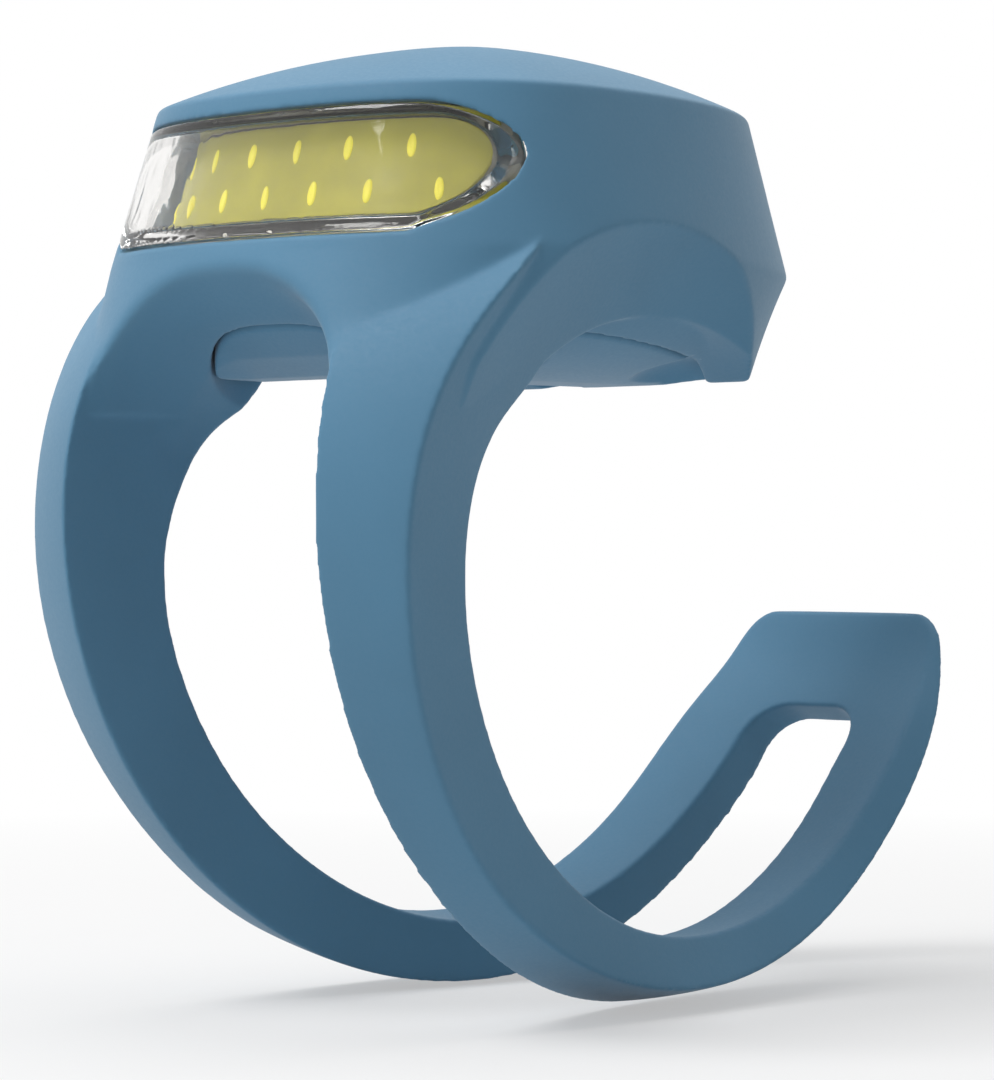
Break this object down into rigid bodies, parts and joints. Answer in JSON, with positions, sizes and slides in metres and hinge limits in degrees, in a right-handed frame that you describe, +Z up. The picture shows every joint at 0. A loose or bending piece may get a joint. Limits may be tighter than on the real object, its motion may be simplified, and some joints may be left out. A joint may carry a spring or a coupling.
{
  "type": "bicycle headlight",
  "caption": "Stretch-on bicycle headlight: a silicone head with a wide curved lens, and a slotted strap that loops under the handlebar to a hooked tab.",
  "frame": {"origin": "handlebar axis, midway between the legs", "axes": "+X along the handlebar, -Y ahead of the bicycle, +Z up"},
  "size_m": [0.0317, 0.0507, 0.0492],
  "materials": {
    "silicone": "matte",
    "lens": "polished",
    "seal": "matte",
    "phosphor": "satin",
    "die": "gloss",
    "lamp_board": "satin",
    "ribbon": "satin",
    "core": "matte",
    "cover": "matte",
    "stem": "matte",
    "board": "satin",
    "chip": "matte",
    "coil": "matte",
    "status": "gloss",
    "capacitor": "satin",
    "cell": "satin",
    "foam": "matte",
    "steel": "satin"
  },
  "bodies": {
    "light": {"head_sleeve": "silicone", "right_leg": "silicone", "left_leg": "silicone", "strap_bends": "silicone", "lens": "lens", "lens_seal": "seal", "phosphor_panel": "phosphor", "led_dies": "die", "led_board": "lamp_board", "led_flex": "ribbon", "core_shell": "core", "lower_cover": "cover", "cover_seal": "seal", "tactile_switch": "chip", "main_pcb": "board", "charger_chip": "chip", "driver_chip": "chip", "inductor": "coil", "status_led": "status", "capacitors": "capacitor", "resistors": "chip", "battery_cell": "cell", "battery_pad": "foam", "battery_tabs": "steel", "usb_socket": "steel", "usb_tongue": "chip"},
    "strap": {"strap_hook": "silicone"},
    "key": {"power_key": "core", "switch_stem": "stem"}
  },
  "joints": [
    {"name": "strap_flex", "type": "hinge", "parent": "light", "child": "strap", "pos_m": [0, -0.0029, -0.0182], "axis": [1, 0, 0], "range_deg": [-30, 24], "stiffness_Nm_per_rad": 0.012, "deforming": ["strap_bends"]},
    {"name": "power_press", "type": "slide", "parent": "light", "child": "key", "axis": [0, 0, -1], "range_m": [0, 0.0004], "stiffness_N_per_m": 4000}
  ]
}
